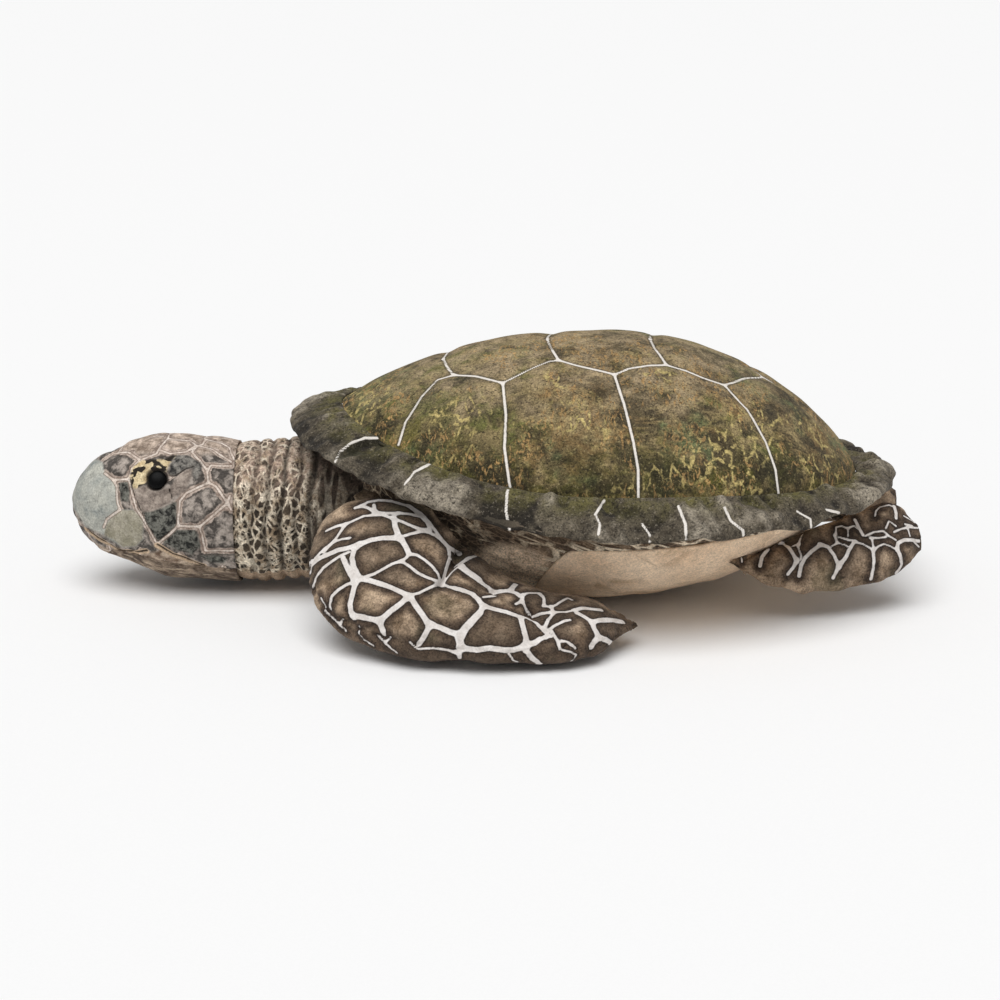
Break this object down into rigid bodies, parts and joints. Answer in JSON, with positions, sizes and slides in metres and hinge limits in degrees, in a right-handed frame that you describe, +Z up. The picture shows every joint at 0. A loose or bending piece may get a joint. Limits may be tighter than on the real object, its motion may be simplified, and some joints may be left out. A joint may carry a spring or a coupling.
{
  "type": "plush sea turtle",
  "caption": "Stuffed sea turtle with a domed shell and padded rim, a head on a short neck, sweeping front flippers, rear paddles and a small tail.",
  "frame": {"origin": "middle of the flat resting patch under the belly, below the top of the shell", "axes": "+Z up out of the shell, -X towards the head, -Y towards the animal's left side"},
  "size_m": [0.5949, 0.3872, 0.179],
  "materials": {
    "shell_plush": "short-pile plush printed in mottled olive green with narrow white scute lines",
    "rim_plush": "short-pile plush printed in mottled grey green with short white ticks",
    "belly_plush": "cream short-pile plush with faint tan clouding",
    "side_plush": "dark brown short-pile plush printed with long cream wrinkle streaks",
    "neck_plush": "short-pile plush printed with a cream net over dark brown",
    "throat_plush": "pale tan short-pile plush",
    "head_plush": "short-pile plush printed with grey brown scutes and thin pale lines",
    "jaw_plush": "tan short-pile plush with faint scutes",
    "flipper_plush": "short-pile plush printed with brown cells in a white net",
    "eye_plastic": "black moulded plastic, softly polished",
    "washer_plastic": "natural white moulded plastic",
    "fibre_stuffing": "white loose polyester fibre"
  },
  "bodies": {
    "root": {"shell_dome_cover": "shell_plush", "shell_rim_top": "rim_plush", "shell_rim_underside": "belly_plush", "shell_rim_wadding": "fibre_stuffing", "belly_panel": "belly_plush", "side_skin_left": "side_plush", "side_skin_right": "side_plush", "body_stuffing": "fibre_stuffing"},
    "neck": {"neck_cover": "neck_plush", "throat_panel": "throat_plush", "neck_stuffing": "fibre_stuffing"},
    "head": {"head_cover": "head_plush", "jaw_panel": "jaw_plush", "head_stuffing": "fibre_stuffing", "eye_left": "eye_plastic", "eye_right": "eye_plastic", "eye_washer_left": "washer_plastic", "eye_washer_right": "washer_plastic"},
    "front_flipper_left": {"front_flipper_left_top_panel": "flipper_plush", "front_flipper_left_under_panel": "flipper_plush", "front_flipper_left_stuffing": "fibre_stuffing"},
    "front_flipper_right": {"front_flipper_right_top_panel": "flipper_plush", "front_flipper_right_under_panel": "flipper_plush", "front_flipper_right_stuffing": "fibre_stuffing"},
    "rear_flipper_left": {"rear_flipper_left_top_panel": "flipper_plush", "rear_flipper_left_under_panel": "flipper_plush", "rear_flipper_left_stuffing": "fibre_stuffing"},
    "rear_flipper_right": {"rear_flipper_right_top_panel": "flipper_plush", "rear_flipper_right_under_panel": "flipper_plush", "rear_flipper_right_stuffing": "fibre_stuffing"},
    "tail": {"tail_top_panel": "flipper_plush", "tail_under_panel": "flipper_plush", "tail_stuffing": "fibre_stuffing"}
  },
  "joints": [
    {"name": "neck_nod", "type": "hinge", "parent": "root", "child": "neck", "pos_m": [-0.15, 0, 0.058], "axis": [0, 1, 0], "range_deg": [-12, 8]},
    {"name": "head_turn", "type": "hinge", "parent": "neck", "child": "head", "pos_m": [-0.236, 0, 0.0535], "axis": [0, 0, 1], "range_deg": [-15, 15]},
    {"name": "front_flipper_left_flap", "type": "hinge", "parent": "root", "child": "front_flipper_left", "pos_m": [-0.138, -0.082, 0.084], "axis": [-1, 0, 0], "range_deg": [-10, 10]},
    {"name": "front_flipper_right_flap", "type": "hinge", "parent": "root", "child": "front_flipper_right", "pos_m": [-0.138, 0.082, 0.084], "axis": [1, 0, 0], "range_deg": [-10, 10]},
    {"name": "rear_flipper_left_flap", "type": "hinge", "parent": "root", "child": "rear_flipper_left", "pos_m": [0.1163, -0.0748, 0.0499], "axis": [-0.8424, -0.5142, -0.1611], "range_deg": [-10, 14], "stiffness_Nm_per_rad": 0.03, "springref_deg": 1.35},
    {"name": "rear_flipper_right_flap", "type": "hinge", "parent": "root", "child": "rear_flipper_right", "pos_m": [0.1163, 0.0748, 0.0499], "axis": [0.8424, -0.5142, 0.1611], "range_deg": [-10, 14], "stiffness_Nm_per_rad": 0.03, "springref_deg": 1.35},
    {"name": "tail_lift", "type": "hinge", "parent": "root", "child": "tail", "pos_m": [0.158, 0, 0.055], "axis": [0, -1, 0], "range_deg": [-12, 12]}
  ]
}
